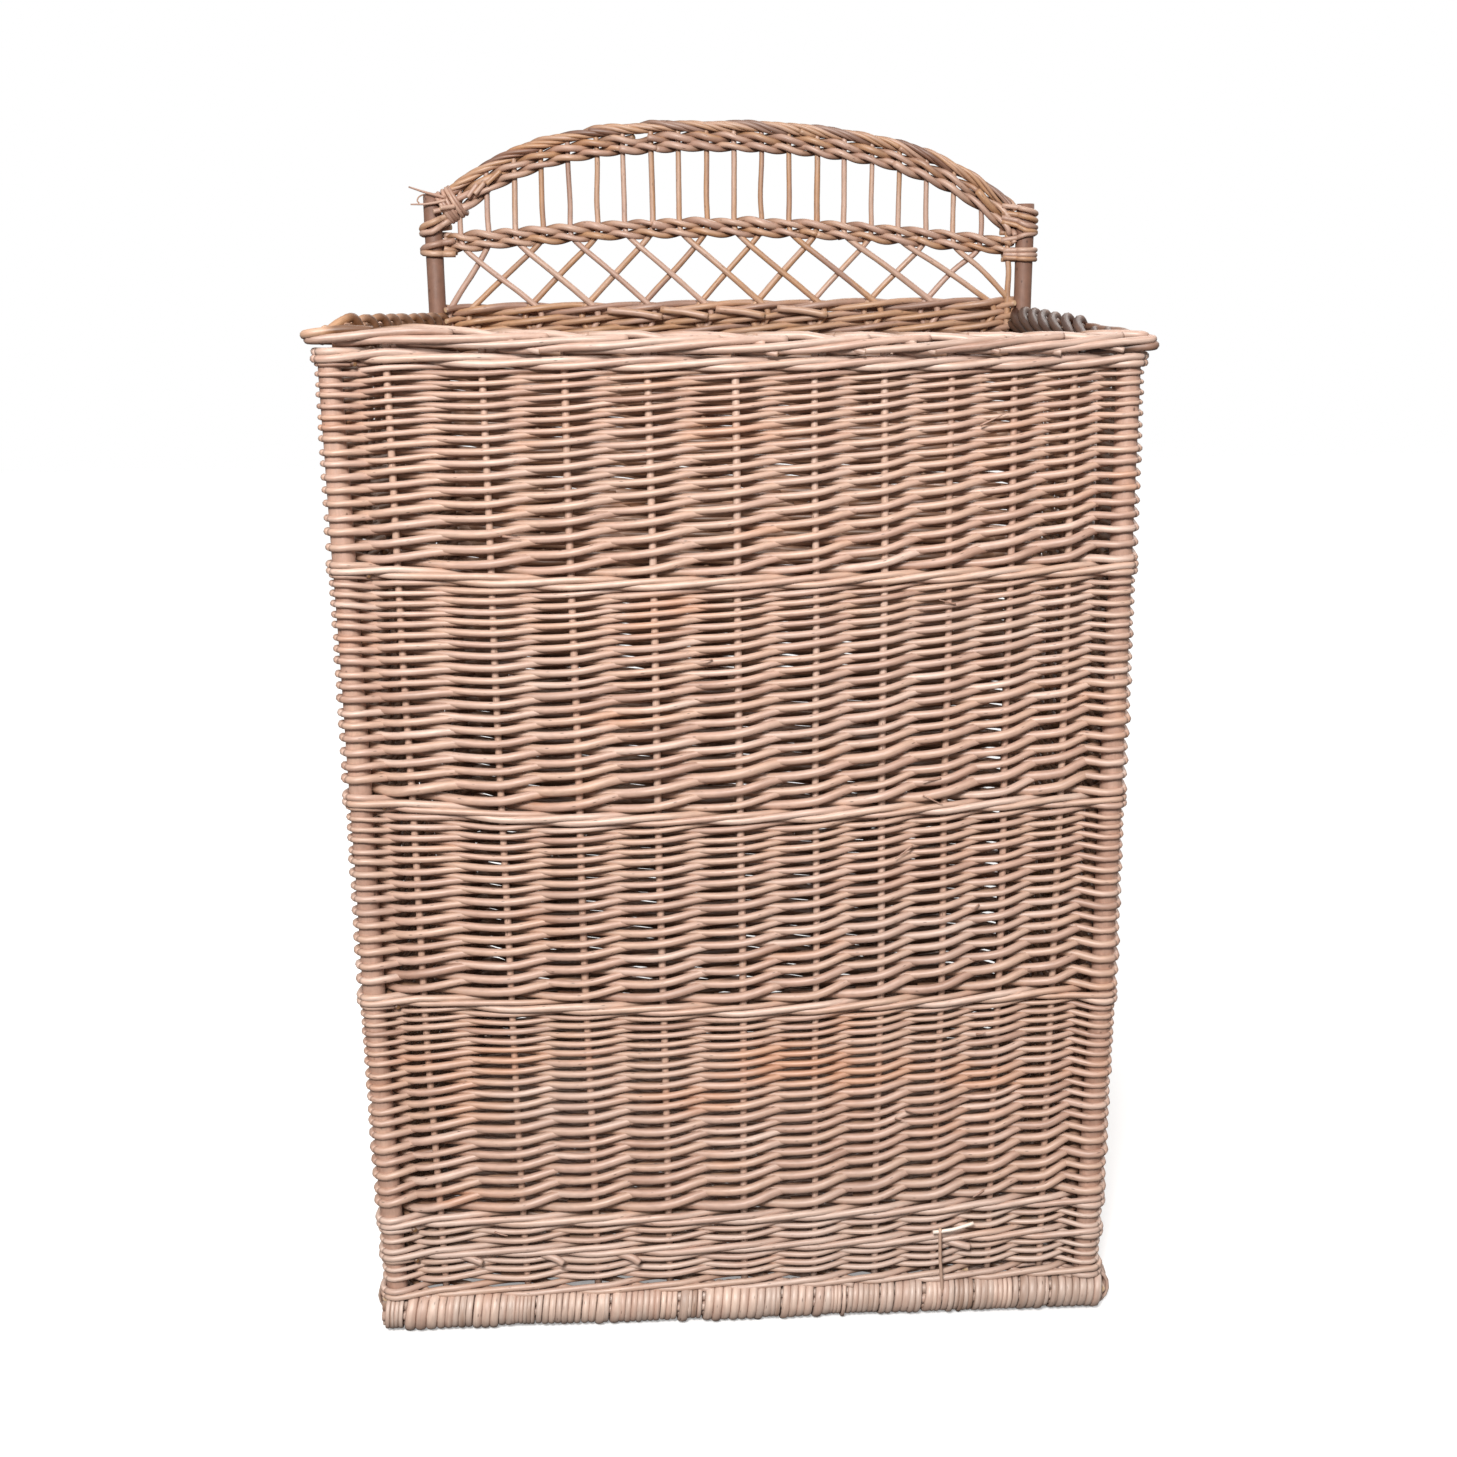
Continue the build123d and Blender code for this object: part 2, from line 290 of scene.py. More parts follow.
    def build(self, name, material, stands_for, slot):
        """Makes the piece, which stands for some of the frame's nodes."""
        mesh = bpy.data.meshes.new(name)
        points, quads, tris = (np.concatenate(parts) for parts in (self.points, self.quads, self.tris))
        mesh.vertices.add(len(points))
        mesh.vertices.foreach_set("co", points.astype(np.float32).ravel())
        corners = np.concatenate([quads.ravel(), tris.ravel()])
        mesh.loops.add(len(corners))
        mesh.loops.foreach_set("vertex_index", corners.astype(np.int32))
        starts = np.concatenate([np.arange(len(quads)) * 4, len(quads) * 4 + np.arange(len(tris)) * 3])
        mesh.polygons.add(len(starts))
        mesh.polygons.foreach_set("loop_start", starts.astype(np.int32))
        mesh.update(calc_edges=True)
        mesh.polygons.foreach_set("use_smooth", np.ones(len(starts), bool))
        for label, parts in (("grain", self.grain), ("kind", self.kind)):
            layer = mesh.attributes.new(label, "FLOAT_VECTOR", "POINT")
            layer.data.foreach_set("vector", np.concatenate(parts).astype(np.float32).ravel())
        # painted shade: 0 on a wall's inside and at the gallery's back, 1 where the rods face out
        shade = self.wall.depth(points) if self.wall else np.ones(len(points))
        if self.face is not None:
            shade = np.clip((self.face - points[:, 1]) / GALLERY_DEPTH, 0, 1)
        mesh.attributes.new("shade", "FLOAT", "POINT").data.foreach_set("value", shade.astype(np.float32))
        layer = mesh.uv_layers.new(name="OFBake")
        layer.data.foreach_set("uv", self.uv().astype(np.float32).ravel())
        mesh.validate()
        mesh.materials.append(material)
        piece = bpy.data.objects.new(name, mesh)
        bpy.context.scene.collection.objects.link(piece)
        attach(piece, "root")
        if stands_for:
            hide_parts(*stands_for)


def parallel_frame(tangent):
    """A direction across the path at each point that turns as little as it can."""
    upright = abs(tangent[0][2]) > 0.8
    guess = np.array([1.0, 0.2, 0.0]) if upright else np.array([0.0, 0.0, 1.0])
    side = np.cross(tangent[0], guess)
    side /= np.linalg.norm(side)
    out = [side]
    for t in tangent[1:]:
        side = side - t * (side @ t)
        side /= np.linalg.norm(side) + 1e-12
        out.append(side)
    return np.array(out)


def smooth_path(points, steps=6):
    """A Catmull-Rom curve through a few points."""
    p = np.asarray(points, float)
    p = np.concatenate([2 * p[:1] - p[1:2], p, 2 * p[-1:] - p[-2:-1]])
    t = np.linspace(0, 1, steps, endpoint=False)[:, None]
    pieces = [
        0.5 * (2 * b + (c - a) * t + (2 * a - 5 * b + 4 * c - d) * t**2 + (3 * b - a - 3 * c + d) * t**3)
        for a, b, c, d in zip(p, p[1:], p[2:], p[3:])
    ]
    return np.concatenate(pieces + [p[-2:-1]])


FRONT_ROWS = smooth_path(np.column_stack([ROW_PLACES, MM * np.transpose(ROWS_OFF_LEVEL)]), 8)

# ---------------- weaving

STEPS = 8  # rings between one upright and the next
ROUNDING = 0.85  # 1 if a weaver rises in a smooth curve, 0 if it goes straight from knot to knot
SWELL = {"front": 1.2, "right": 1.2, "rear": 1.6, "left": 1.2}  # a weaver's thickness to its row's height
AT_POST = np.zeros(N)  # how much further a weaver has risen in front of an upright, in layers
AT_POST[FIRST["front"]], AT_POST[FIRST["right"]] = 0.7, -0.5
AT_POST_WIDTH = 0.88  # of a weaver that is pulled round a post
SINK = 0.16  # how much lower a weaver is behind an upright than in the next gap, in layers
TIP_LIFT = 0.45  # how steeply the tips climb, as a part of how steeply the butts do
HUG = 0.6  # how far a weaver's middle stands off a post that it is pulled round, in its own radius


def run_of(first, levels, middles, outside, radius, proud=0.0):
    """The path of one weaver, wall by wall.

    It starts at upright number first. levels are its heights at the uprights, middles at the gaps
    between them, outside says whether it passes outside each upright, and radius is its own radius
    at each upright. Yields (wall, points, radii, number of gaps done, at start, at finish).
    """
    gaps = len(middles)
    knots = np.empty(2 * gaps + 1)
    knots[0::2], knots[1::2] = levels, middles
    bent = np.interp(np.arange(gaps * STEPS + 1) * 2 / STEPS, np.arange(2 * gaps + 1), knots)
    heights = ROUNDING * smooth_path(knots[:, None], STEPS // 2)[:, 0] + (1 - ROUNDING) * bent
    s = np.linspace(0, 1, STEPS + 1)[:, None]  # the Hermite curve from one upright to the next
    h00, h10, h01, h11 = 2 * s**3 - 3 * s**2 + 1, s**3 - 2 * s**2 + s, -2 * s**3 + 3 * s**2, s**3 - s**2
    t = 0
    while t < gaps:
        wall = GAPS[(first + t) % N][0]
        flat, z, r = [], [], []
        start = t
        while t < gaps and GAPS[(first + t) % N][0] is wall:
            index = GAPS[(first + t) % N][1]
            ends = []
            for at, sign in ((t, 1), (t + 1, -1)):
                clear, direction = radius[at] + proud, (1.0, 0.0)
                u = wall.places[index + (sign < 0)]
                if not is_post(first + at):
                    out = STAKE_RADIUS + clear if outside[at] else -STAKE_RADIUS - clear
                elif outside[at]:
                    out = POST_RADIUS + HUG * clear
                else:
                    lean = (POST_RADIUS + clear) * math.sqrt(0.5)
                    u, out = u + sign * lean, -lean
                    direction = (math.sqrt(0.5), sign * math.sqrt(0.5))
                ends.append((np.array([u, out]), np.array(direction)))
            (p0, d0), (p1, d1) = ends
            span = p1[0] - p0[0]
            curve = h00 * p0 + h10 * span * d0 + h01 * p1 + h11 * span * d1
            keep = slice(0 if t == start else 1, None)
            flat.append(curve[keep])
            z.append(heights[t * STEPS : (t + 1) * STEPS + 1][keep])
            r.append((radius[t] + (radius[t + 1] - radius[t]) * s[:, 0])[keep])
            t += 1
        flat, z, r = np.concatenate(flat), np.concatenate(z), np.concatenate(r)
        points = wall.point(flat[:, 0], flat[:, 1], z)
        if is_post(first + start) and outside[start]:
            arc = corner_arc(wall, 0.0, -1, POST_RADIUS + HUG * (radius[start] + proud), z[0])
            points = np.concatenate([arc, points])
            r = np.concatenate([np.full(len(arc), r[0]), r])
        if is_post(first + t) and outside[t]:
            arc = corner_arc(wall, wall.length, 1, POST_RADIUS + HUG * (radius[t] + proud), z[-1])
            points = np.concatenate([points, arc])
            r = np.concatenate([r, np.full(len(arc), r[-1])])
        yield wall, points, r, start, start == 0, t == gaps


def corner_arc(wall, u, side, reach, z):
    """The eighth of a turn round a post, from the wall's own face to the corner's diagonal."""
    angles = np.array([15, 30, 45]) * math.pi / 180
    points = wall.point(u + side * reach * np.sin(angles), reach * np.cos(angles), z)
    return points if side > 0 else points[::-1]


def wall_rods():
    return {wall.name: Rods(wall=wall) for wall in WALLS}


def randing(pieces, z0, z1, rounds, middle_radius, settle, lift, butt=1.24, tip=0.76):
    """French randing: a weaver starts at every upright, and all rise together, each in front of one
    upright and behind the next. Their butts lie at the bottom of the tier and their tips at the top.

    In front of an upright a weaver has risen by settle since it came out, as a part of one layer, and
    then it climbs steeply: as it goes in, it is higher by lift than an even rise would bring it. The thin
    tips climb less steeply. Round the front posts they lie otherwise, as AT_POST says."""
    gaps = 2 * rounds
    taper = np.linspace(butt, tip, gaps + 1)
    own = np.clip(rng.normal(1, 0.075, N), 0.82, 1.2)
    radius = middle_radius * own[:, None] * taper * (1 + rng.normal(0, 0.02, (N, gaps + 1)))
    thick = radius[:, :-1] + radius[:, 1:]
    w, t = np.meshgrid(np.arange(N), np.arange(gaps), indexing="ij")
    stack = np.empty((N, gaps))
    stack[(w + t) % N, t] = thick
    total = stack.sum(1, keepdims=True)
    height = z0 + (np.cumsum(stack, 1) - stack / 2) * (z1 - z0) / total
    layer = (stack * (z1 - z0) / total)[(w + t) % N, t]
    middles = height[(w + t) % N, t]
    outside = np.arange(gaps + 1) % 2 == 1
    levels = np.empty((N, gaps + 1))
    next_upright = (w + t + 1) % N
    at_post = [[is_post(upright) for upright in row] for row in next_upright]
    radius[:, 1:] *= np.where(at_post, AT_POST_WIDTH, 1.0)
    settled = settle + AT_POST[next_upright]
    levels[:, 1::2] = middles[:, 0::2] + (settled * layer)[:, 0::2]
    levels[:, 0:-1:2] = middles[:, 0::2] - SINK * layer[:, 0::2]
    levels[:, -1] = middles[:, -1] + layer[:, -1] / 2
    middles[:, 1::2] += (np.linspace(lift, TIP_LIFT * lift, gaps) * layer)[:, 1::2]
    levels += rng.normal(0, 0.07, levels.shape) * 2 * radius  # no weaver lies quite true
    levels = np.clip(levels, z0 + 0.8 * MM, z1 - 0.8 * MM)
    tints = rng.uniform(size=N)
    for weaver in range(N):
        along = rng.uniform(0, 5)
        for wall, points, r, start, is_start, is_end in run_of(
            weaver, levels[weaver], middles[weaver], outside, radius[weaver]
        ):
            if is_start:
                points = np.concatenate([points[:1] + 3 * (points[:1] - points[1:2]), points])
                r = np.concatenate([r[:1], r])
            if is_end:
                points = np.concatenate([points, points[-1:] + 3 * (points[-1:] - points[-2:-1])])
                r = np.concatenate([r, r[-1:]])
            r = r * SWELL[wall.name]
            pieces[wall.name].add(points, r, tints[weaver], along + 0.05 * start, (is_start, is_end))


def weave_tier(tier, *layout):
    """One tier of randing. The front's and the rear's pieces also stand for the turns round the posts."""
    pieces = wall_rods()
    randing(pieces, *layout)
    for name, rods in pieces.items():
        nodes = [f"{name}_weave_tier_{tier}"]
        if name in ("front", "rear"):
            nodes += [f"corner_weave_{name}_left", f"corner_weave_{name}_right"]
        rods.build(f"{name}_rods_tier_{tier}", WEAVE, nodes, "weave_willow")


def wale(rods, z, radius, proud=0.8 * MM, first=FIRST["left"], gaps=N + 2):
    """Three-rod waling: each rod passes outside two uprights and inside the third. It comes out below the
    others and rises past them. It starts at upright number first and passes some gaps."""
    rise = 0.95 * radius
    for strand in range(3):
        phase = (np.arange(gaps + 1) - strand) % 3
        own = radius * (1 + rng.normal(0, 0.06))
        levels = z + rise * np.choose(phase, [-1.0, 1.0, 0.0])
        middles = z + rise * np.choose(phase[:-1], [0.0, 1.0, -1.0])
        wander = np.cumsum(rng.normal(0, 0.1 * MM, gaps + 1))
        wander -= np.linspace(wander[0], wander[-1], gaps + 1)
        widths = own * (1 + rng.normal(0, 0.04, gaps + 1))
        tint, along = rng.uniform(), rng.uniform(0, 5)
        levels, middles = levels + wander, middles + (wander[1:] + wander[:-1]) / 2
        run = run_of(first, levels, middles, phase != 2, widths, proud)
        for wall, points, r, start, is_start, is_end in run:
            rods[wall.name].add(points, r, tint, along + 0.05 * start, (is_start, is_end))


def waled_band(node, middle, radius):
    """One round of waling, as one piece for each wall."""
    rods = wall_rods()
    wale(rods, middle, radius)
    for name, group in rods.items():
        group.build(f"{name}_{node}_rods", WALE, [node], "wale_willow")


def upsett():
    """The first rows above the foot: three rounds of waling, with a few thin rows between them, and the
    cut ends of rods between the stakes."""
    z0, z1 = FOOT_TOP, top("upsett_wale")
    rods = wall_rods()
    edges = z0 + np.array([0.02, 0.18, 0.48, 0.62, 0.84, 1]) * (z1 - z0)
    for i, proud in ((0, 2.6), (2, 1.0), (4, 0.8)):
        wale(rods, (edges[i] + edges[i + 1]) / 2, 0.0024, proud=proud * MM, first=FIRST["left"] - i % 3)
    randing(rods, edges[1], edges[2], 3, 0.00160, 0.4, 0.4, 1.06, 0.94)
    randing(rods, edges[3], edges[4], 2, 0.00165, 0.4, 0.4, 1.06, 0.94)
    for wall in WALLS:
        for a, b in zip(wall.places, wall.places[1:]):
            for level, chance in ((edges[2] - 0.001, 0.6), (z0 + 0.004, 0.3)):
                if rng.uniform() < chance:
                    u = a + (b - a) * rng.uniform(0.30, 0.42)
                    radius = 0.0024 * rng.uniform(0.85, 1.15)
                    end = (u + rng.uniform(0.009, 0.012), 0.0080, level - rng.uniform(0.001, 0.003))
                    places = [(u - 0.006, 0.003, level + 0.002), (u + 0.004, 0.0066, level + 0.0005), end]
                    rods[wall.name].add(wall.path(places, 4), radius, 0.95, cut=(False, True))
    for name, group in rods.items():
        group.build(f"{name}_upsett_rods", WALE, ["upsett_wale"], "wale_willow")


def stakes():
    for wall in WALLS:
        rods = Rods(10, wall)
        for u in wall.places[1:-1]:
            z = np.linspace(FOOT_TOP, RIM_TOP - 0.008, 40)
            sway = 0.4 * MM * np.sin(z * rng.uniform(15, 30) + rng.uniform(0, 6))
            rods.add(wall.point(u + sway, sway, z), STAKE_RADIUS * rng.uniform(1.0, 1.12))
        rods.build(f"{wall.name}_stake_rods", STAKE, [f"{wall.name}_stakes"], "stake_willow")


def corner_posts():
    """Peeled sticks, a little uneven, where the walls start. The front ones are the paler."""
    for name, number in (("front_left", 0), ("front_right", 1), ("rear_left", 3), ("rear_right", 2)):
        node = f"corner_post_{name}"
        low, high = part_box(node)
        z = np.linspace(low.z, high.z, 70)
        sway = [0.5 * MM * np.sin(z * rng.uniform(7, 12) + rng.uniform(0, 6)) for _ in range(2)]
        uneven = 0.02 * np.sin(z * 40 + rng.uniform(0, 6)) + rng.normal(0, 0.004, len(z))
        radius = POST_RADIUS * (1 + uneven)
        radius[-3:] *= [1, 0.99, 0.96]
        x, y = WALLS[number].start
        path = np.stack([x * spread(y, z) + sway[0], y + sway[1], z], -1)
        # painted shade: the front posts' dusky tone is the shadow between their wraps, and the rear posts are
        # darker still as shade
        material, tint = (POST, 0.5) if "rear" in name else (GALLERY, 0.1)
        rods = Rods(24)
        rods.add(path, radius, tint, bevel=0.93)
        rods.build(f"post_{name}", material, [node], "post_willow")


# ---------------- foot and base

WRAP_PITCH = 2 * 0.97  # from one turn of the foot's winding to the next, in its own radius
CORE_ROD = 0.0034  # the radius of the foot's straight rods


def foot_wrap(rods, wall, u, turns, radius, lump):
    """One rod wound round the foot a few times, flat and close. A lump is a turn that hangs low.
    Returns how much of the foot it covers."""
    steps = 16
    angle = np.linspace(0, 2 * np.pi * turns, turns * steps + 1) + np.pi + rng.uniform(-0.5, 0.5)
    turn = np.floor(np.linspace(0, turns - 0.001, turns * steps + 1))
    reach = FOOT_WRAP * (1 + rng.normal(0, 0.035)) + rng.normal(0, 0.1 * MM, len(angle))
    low = np.clip(-np.sin(angle), 0, 1) ** 2
    uneven = rng.uniform(-0.4 * MM, 0.4 * MM, turns)[turn.astype(int)]
    reach = reach + low * (1.6 * MM * (turn == lump) + uneven)
    covered = WRAP_PITCH * radius * turns
    along = u + radius + np.linspace(0, covered, len(angle)) + 0.5 * MM * np.sin(angle)
    height = np.maximum(FOOT_AXIS + reach * np.sin(angle), 0.6 * radius)
    path = wall.flat(along, FOOT_OUT + reach * np.cos(angle), height)
    across = np.array([*wall.along, 0.0])
    rods.add(path, radius * (1 + rng.normal(0, 0.03, len(angle))), flatten=0.5, across=across)
    return covered


def foot():
    """A bundle of straight rods under each wall, tightly wound from end to end."""
    for wall in WALLS:
        node = f"foot_binding_{wall.name}"
        low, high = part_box(node)
        ends = sorted(float((np.array((p.x, p.y)) - wall.start) @ wall.along) for p in (low, high))
        rods = Rods()
        u, last = ends[0] + 0.001, ends[1] - 0.0015
        while u < last - 0.004:
            radius = 0.0024 * float(np.clip(rng.normal(1, 0.3), 0.6, 1.7))
            turns = min(int(rng.choice([1, 1, 2, 2, 3, 4, 6])), int((last - u) / (WRAP_PITCH * radius)))
            if turns < 1:
                break
            u += foot_wrap(rods, wall, u, turns, radius, rng.integers(0, 3 * turns + 2))
            u += max(0.0, rng.normal(0.0001, 0.0006))
        rods.build(f"{wall.name}_foot_wraps", FOOT, [node], "foot_willow")
        core = Rods(10)
        for angle in np.arange(6) * math.tau / 6:
            out, up = 2 * CORE_ROD * math.cos(angle), 2 * CORE_ROD * math.sin(angle)
            u = np.linspace(ends[0] + rng.uniform(0, 0.003), ends[1] - rng.uniform(0, 0.003), 20)
            core.add(wall.flat(u, FOOT_OUT + out, FOOT_AXIS + up), CORE_ROD)
        core.add(wall.flat(np.linspace(*ends, 20), FOOT_OUT, FOOT_AXIS), CORE_ROD)
        core.build(f"{wall.name}_foot_core", FOOT, [f"foot_core_{wall.name}"], "foot_willow")


def base():
    """The floor of the hamper: thick sticks from front to back, with rods woven across them."""
    low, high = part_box("base_sticks")
    middle = (low.z + high.z) / 2
    stick, weaver = 0.0027, 0.0018
    places = stake_places("base_sticks", 0)
    sticks = Rods(10)
    for x in places:
        y = np.linspace(low.y, high.y, 24)
        sticks.add(np.stack([x + 0 * y, y, middle + 0 * y], -1), stick)
    sticks.build("base_stick_rods", BASE, ["base_sticks"], "base_willow")
    low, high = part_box("base_weave")
    rods = Rods(6)
    rows = int((high.y - low.y) / (2.06 * weaver))
    x = np.linspace(low.x, high.x, 8 * (len(places) + 1))
    wave = np.cos(np.pi * (x - places[0]) / (places[1] - places[0]))
    for row in range(rows):
        y = low.y + (row + 0.5) * (high.y - low.y) / rows
        z = middle + (-1) ** row * (stick + 0.8 * weaver) * wave
        sway = 0.4 * MM * np.sin(x * 9 + rng.uniform(0, 6))
        rods.add(np.stack([x, y + sway, z], -1), weaver * (1 + rng.normal(0, 0.06)))
    rods.build("base_rods", BASE, ["base_weave"], "base_willow")


# ---------------- border

# How the border's rods lie. Each place is (gaps along it, millimetres out, millimetres above the wall).
OUTER = ((0.1, 2, 1), (0.5, 8, 2), (0.95, 11.5, 3.2), (1.45, 12.6, 5.2), (1.95, 12.3, 7.2), (2.4, 9.8, 9))
OUTER += ((2.75, 5, 9.4),)
OVER_FRONT = ((0, -2, -4), (0, -4.6, 3), (0.05, -4.8, 7.5), (0.2, -3.4, 10.3), (0.5, 0.5, 10.9))
OVER_FRONT += ((0.85, 4.5, 10.6), (1.15, 8.3, 9), (1.4, 9.5, 6.5))
OVER_LEFT = ((0, -7, -3), (0, -8.5, 4), (0.04, -8, 11), (0.1, -5, 15.5), (0.18, 0, 14.5), (0.28, 5.5, 10.5))
OVER_LEFT += ((0.36, 9.5, 6), (0.42, 11.5, 1))
OVER_RIGHT = ((0, -3, -4), (0.2, -7.5, -2), (1, -9.5, 4), (1.7, -9, 10), (2.2, -5, 14), (2.6, 1, 14.5))
OVER_RIGHT += ((3, 7, 10),)
INNER = ((0.05, 1, -1.5), (0.4, -4.5, 0), (0.9, -7, 3), (1.5, -7.2, 6.5), (2, -5.5, 9.5), (2.3, -2, 10.5))

MITRE = 0.035  # how far from a corner the border starts to turn it
MITRE_REACH = 0.22  # how much further out it stands at the corner itself
CORNER_RISE, RISE_REACH = 0.0013, 8  # how much higher it is at the front left corner, for how many uprights
LEFT_START, RIGHT_START, RIGHT_END = FIRST["left"] - N, FIRST["right"], FIRST["rear"]


def rim_point(h, out, up):
    """Places on the border: h counts uprights from the front left post, and is less than 0 on the left."""
    points = []
    for one, o, z in zip(h, out, up):
        index = int(np.clip(math.floor(one), LEFT_START, RIGHT_END - 1))
        wall, gap = GAPS[index % N]
        u = wall.places[gap] + (one - index) * (wall.places[gap + 1] - wall.places[gap])
        near = 0.0
        for distance, side, free in ((u, -1, "left"), (wall.length - u, 1, "right")):
            if wall.name != free and distance < MITRE:  # the border ends straight at the rear posts
                near = 1 - distance / MITRE
                u += side * o * (1 + MITRE_REACH) * near
        o *= 1 + MITRE_REACH * near
        z += CORNER_RISE * max(0.0, 1 - abs(one) / RISE_REACH)
        points.append(wall.point(u, o, WALL_TOP + z))
    return np.array(points)


def rim_rod(rods, controls, radius, cut=(False, False), jitter=0.4 * MM):
    """A rod through places on the border given as (h, out, up), rounded where it turns a corner."""
    controls = np.array(controls, float)
    controls[:, 1:] += rng.normal(0, jitter, controls[:, 1:].shape)
    controls[:, 0] = np.clip(controls[:, 0], LEFT_START + 0.05, RIGHT_END - 0.05)
    dense = smooth_path(controls, 6)
    dense[:, 0] = np.clip(dense[:, 0], LEFT_START + 0.01, RIGHT_END - 0.01)
    points = rim_point(*dense.T)
    for _ in range(2):
        points[1:-1] = (points[:-2] + 2 * points[1:-1] + points[2:]) / 4
    radii = radius * (1 + rng.normal(0, 0.02, len(points)))
    radii[: len(radii) // 4] *= np.linspace(0.9, 1, len(radii) // 4)
    rods.add(points, radii, cut=cut)


def border():
    """A rod border. Each upright is bent down to the right at the inner edge, crosses over the top, runs
    along the outside, rising past its neighbours, and is cut off below them."""
    rods = {wall.name: Rods(10, wall) for wall in WALLS if wall.name != "rear"}

    def group(h):
        return rods["left" if h < -0.3 else "front" if h < RIGHT_START - 0.4 else "right"]

    def controls(start, places, low=-math.inf, high=math.inf):
        moved = [(start + h, out * MM, up * MM) for h, out, up in places]
        return [place for place in moved if low < place[0] < high]

    for h in range(LEFT_START - 1, RIGHT_END - 1):
        radius = 0.00255 * rng.uniform(0.9, 1.1)
        outer = controls(h + rng.uniform(-0.12, 0.12), OUTER, LEFT_START, RIGHT_END + 0.3)
        if len(outer) > 2:
            rim_rod(group(h + 1.2), outer, radius)
    for h in range(LEFT_START, RIGHT_END):
        if h in (0, RIGHT_START):
            continue
        radius = 0.0026 * rng.uniform(0.92, 1.1)
        start = h + rng.uniform(-0.05, 0.05)
        side = 0 if h < 0 else 1 if h < RIGHT_START else 2
        over = controls(start, (OVER_LEFT, OVER_FRONT, OVER_RIGHT)[side], high=RIGHT_END + 0.3)
        rim_rod(group(h + 0.5), over, radius * (1.15, 1, 1.25)[side], jitter=0.3 * MM)
    for h in range(LEFT_START, RIGHT_END - 1):
        radius = 0.0024 * rng.uniform(0.9, 1.1)
        inner = controls(h, INNER, high=RIGHT_END)
        if len(inner) > 2:
            rim_rod(group(h + 1.2), inner, radius)
    for h in range(LEFT_START, RIGHT_END):
        start = h + rng.uniform(0.3, 0.5)
        stub = controls(start, ((0, 5, 4), (0.1, 9, 2.4), (rng.uniform(0.2, 0.26), 11.6, 1)))
        if rng.uniform() < (0.9 if h > 5 else 0.35):
            rim_rod(group(h + 0.5), stub, 0.0021 * rng.uniform(0.85, 1.2), cut=(False, True))
    # The right side's border has dark tones: painted shade on its inner face.
    for name, look in (("front", BORDER), ("right", PAINTED_SHADE_BORDER), ("left", GALLERY)):
        rods[name].build(f"{name}_border_rods", look, [f"border_{name}"], "border_willow")


# ---------------- gallery


def edge_of(node, upper):
    """A polynomial through the upper or lower edge of one of the gallery's curved bands."""
    points = np.array([(v.co.x, v.co.z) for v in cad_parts[node].data.vertices])
    middle = np.polyfit(*points.T, 4)
    chosen = points[(points[:, 1] > np.polyval(middle, points[:, 0])) == upper]
    return np.poly1d(np.polyfit(*chosen.T, 4))


def clusters(values, gap=0.006):
    """The middles of groups of values that lie close together."""
    values = np.sort(values)
    return [float(c.mean()) for c in np.split(values, np.flatnonzero(np.diff(values) > gap) + 1)]


ARCH = edge_of("gallery_arch_border", True)
BAND = (edge_of("gallery_middle_band", True) + edge_of("gallery_middle_band", False)) / 2
ROD_RADIUS = 0.00245  # of the crossing rods
GALLERY_BACK = REAR_Y + GALLERY_DEPTH / 2
# x and z of each cut end's start and finish on the arch, and the right ties' heights, as in post_wrap
ARCH_STUBS = ((-0.19, 0.8215, -0.2018, 0.811), (-0.21, 0.811, -0.218, 0.8005), (-0.204, 0.812, -0.212, 0.803))
RIGHT_TIES = ((788.6, 784.9, 781.6, 781), (782.8, 779, 775.8, 776), (779.3, 772.6, 770.6, 771))
RIGHT_TIES += ((775.8, 768.3, 766.8, 767), (760.7, 765, 766.4, 763))
LOOSE_ENDS = (  # of the lashing: start, finish, radius, tone, sag and tip, as in short_rod
    ((-0.236, -0.0095, 0.8005), (-0.2665, -0.010, 0.8095), 0.0015, 0.1, 0.0005, 0.45),
    ((-0.236, -0.0095, 0.7985), (-0.2655, -0.011, 0.7955), 0.0015, 0.3, 0.0012, 0.4),
    ((-0.233, -0.009, 0.7925), (-0.2465, -0.0135, 0.7895), 0.0021, 0.2),
    ((-0.229, -0.009, 0.7935), (-0.2405, -0.0145, 0.7920), 0.0020, 0.4),
)
HOOK = (  # the thin bent tip beside them
    (-0.2545, -0.0085, 0.8035),
    (-0.2585, -0.009, 0.8015),
    (-0.2600, -0.0095, 0.7985),
    (-0.2585, -0.010, 0.7965),
)


